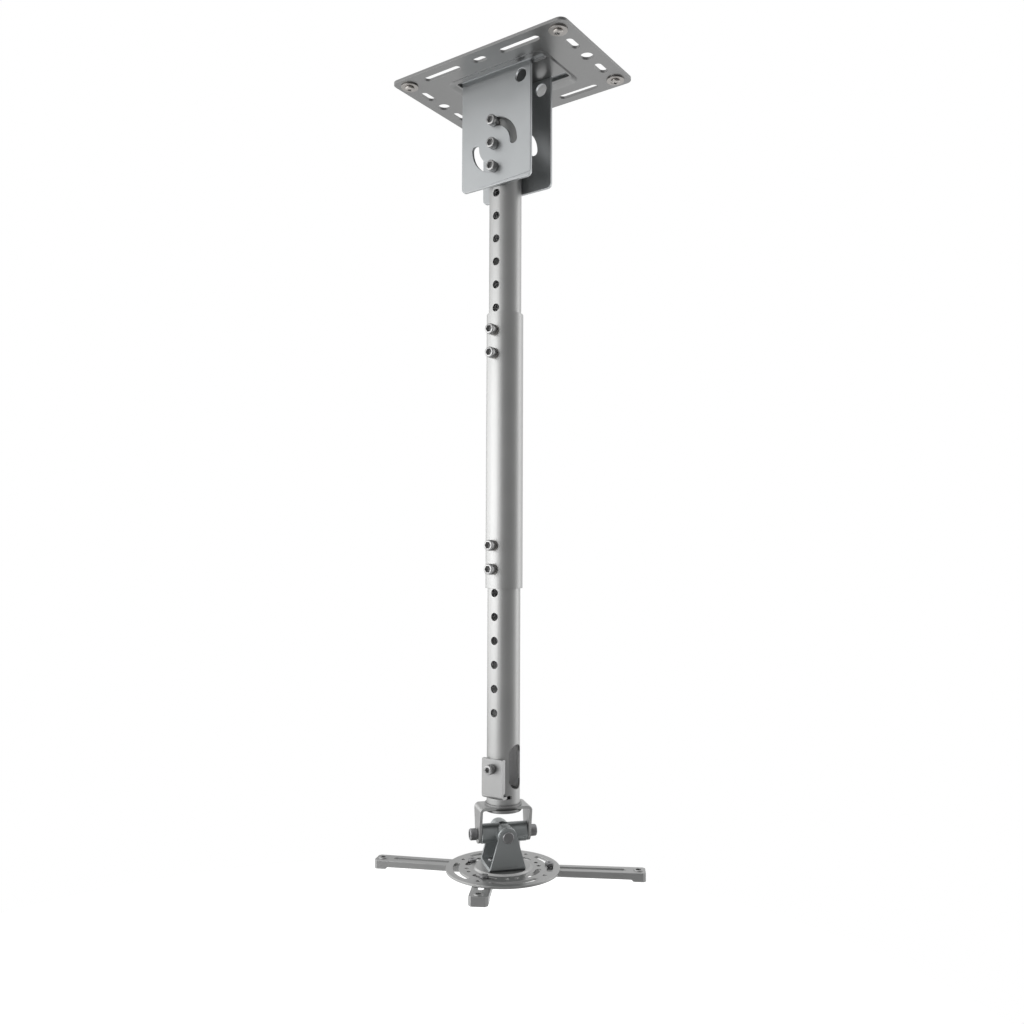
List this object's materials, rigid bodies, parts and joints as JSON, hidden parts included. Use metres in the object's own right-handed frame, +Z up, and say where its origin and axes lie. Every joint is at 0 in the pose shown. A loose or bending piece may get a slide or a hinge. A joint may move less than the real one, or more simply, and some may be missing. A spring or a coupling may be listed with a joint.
{
  "type": "projector ceiling mount",
  "caption": "Projector ceiling mount: slotted ceiling plate, tilting telescopic pole with clamp screws, and a swivelling, tilting disc head with sliding slotted arms.",
  "frame": {"origin": "centre of the ceiling plate's upper face, between its four long slots", "axes": "+Z up towards the ceiling, +X along the plate's long side, -Y to the side of the pole that carries the clamp screws"},
  "size_m": [0.2651, 0.176, 0.8634],
  "materials": {
    "plate_coat": "satin silver powder coat",
    "bracket_coat": "satin silver powder coat",
    "pole_coat": "satin silver powder coat",
    "head_coat": "satin silver powder coat",
    "casting": "grey coat over a casting",
    "arm_casting": "silver coat over a die casting",
    "plated_steel": "nickel plated",
    "screw_steel": "dark zinc plated"
  },
  "bodies": {
    "ceiling": {"ceiling_plate": "plate_coat", "anchor_washers": "plated_steel", "anchor_screws": "screw_steel", "ceiling_bracket": "bracket_coat"},
    "upper_pole": {"upper_tube": "pole_coat", "bracket_bolts": "screw_steel", "bracket_washers": "plated_steel", "bracket_nuts": "plated_steel"},
    "sleeve": {"sleeve_tube": "pole_coat", "clamp_washers": "screw_steel", "clamp_screws": "screw_steel"},
    "lower_pole": {"lower_tube": "pole_coat", "lock_plate": "pole_coat", "lock_screw": "screw_steel"},
    "swivel": {"swivel_stub": "plated_steel", "swivel_washer": "plated_steel", "yoke": "head_coat"},
    "cross": {"cross_block": "casting", "yoke_axle_screws": "screw_steel"},
    "head": {"trunnion": "head_coat", "trunnion_axle": "plated_steel", "trunnion_rivets": "plated_steel", "mounting_disc": "head_coat"},
    "left_screw": {"left_arm_screw": "screw_steel"},
    "left_nut": {"left_arm_nut": "plated_steel"},
    "left_arm": {"left_arm": "arm_casting"},
    "front_screw": {"front_arm_screw": "screw_steel"},
    "front_nut": {"front_arm_nut": "plated_steel"},
    "front_arm": {"front_arm": "arm_casting"},
    "right_screw": {"right_arm_screw": "screw_steel"},
    "right_nut": {"right_arm_nut": "plated_steel"},
    "right_arm": {"right_arm": "arm_casting"},
    "rear_screw": {"rear_arm_screw": "screw_steel"},
    "rear_nut": {"rear_arm_nut": "plated_steel"},
    "rear_arm": {"rear_arm": "arm_casting"}
  },
  "joints": [
    {"name": "pole_tilt", "type": "hinge", "parent": "ceiling", "child": "upper_pole", "pos_m": [-0.0078, 0, -0.0775], "axis": [0, 1, 0], "range_deg": [0, 90]},
    {"name": "upper_telescope", "type": "slide", "parent": "upper_pole", "child": "sleeve", "axis": [0, 0, 1], "range_m": [0, 0.075]},
    {"name": "lower_telescope", "type": "slide", "parent": "sleeve", "child": "lower_pole", "axis": [0, 0, 1], "range_m": [0, 0.075]},
    {"name": "head_swivel", "type": "hinge", "parent": "lower_pole", "child": "swivel", "pos_m": [-0.0078, 0, -0.7796], "axis": [0, 0, 1], "continuous": true},
    {"name": "head_tilt", "type": "hinge", "parent": "swivel", "child": "cross", "pos_m": [-0.0078, 0, -0.8091], "axis": [0.6428, 0.766, 0], "range_deg": [-20, 20]},
    {"name": "head_roll", "type": "hinge", "parent": "cross", "child": "head", "pos_m": [-0.0078, 0, -0.8091], "axis": [-0.766, 0.6428, 0], "range_deg": [-20, 20]},
    {"name": "left_arm_along_disc", "type": "hinge", "parent": "head", "child": "left_screw", "pos_m": [-0.0078, 0, -0.8477], "axis": [0, 0, 1], "range_deg": [-3, 12]},
    {"name": "left_arm_swing", "type": "hinge", "parent": "left_screw", "child": "left_nut", "pos_m": [-0.04566, -0.00331, -0.8477], "axis": [0, 0, 1], "range_deg": [-8, 7]},
    {"name": "left_arm_reach", "type": "slide", "parent": "left_nut", "child": "left_arm", "axis": [-0.9135, -0.4067, 0], "range_m": [-0.004, 0.005]},
    {"name": "front_arm_along_disc", "type": "hinge", "parent": "head", "child": "front_screw", "pos_m": [-0.0078, 0, -0.8477], "axis": [0, 0, 1], "range_deg": [-8, 14]},
    {"name": "front_arm_swing", "type": "hinge", "parent": "front_screw", "child": "front_nut", "pos_m": [-0.00449, -0.03785, -0.8477], "axis": [0, 0, 1], "range_deg": [-10, 10]},
    {"name": "front_arm_reach", "type": "slide", "parent": "front_nut", "child": "front_arm", "axis": [0.5, -0.866, 0], "range_m": [0, 0.016]},
    {"name": "right_arm_along_disc", "type": "hinge", "parent": "head", "child": "right_screw", "pos_m": [-0.0078, 0, -0.8477], "axis": [0, 0, 1], "range_deg": [-18, 8]},
    {"name": "right_arm_swing", "type": "hinge", "parent": "right_screw", "child": "right_nut", "pos_m": [0.02781, 0.03439, -0.8477], "axis": [0, 0, 1], "range_deg": [-8, 10]},
    {"name": "right_arm_reach", "type": "slide", "parent": "right_nut", "child": "right_arm", "axis": [0.866, 0.5, 0], "range_m": [-0.008, 0.01]},
    {"name": "rear_arm_along_disc", "type": "hinge", "parent": "head", "child": "rear_screw", "pos_m": [-0.0078, 0, -0.8477], "axis": [0, 0, 1], "range_deg": [-6, 6]},
    {"name": "rear_arm_swing", "type": "hinge", "parent": "rear_screw", "child": "rear_nut", "pos_m": [-0.03255, 0.04287, -0.8477], "axis": [0, 0, 1], "range_deg": [-6, 6]},
    {"name": "rear_arm_reach", "type": "slide", "parent": "rear_nut", "child": "rear_arm", "axis": [-0.5, 0.866, 0], "range_m": [-0.002, 0.01]}
  ]
}
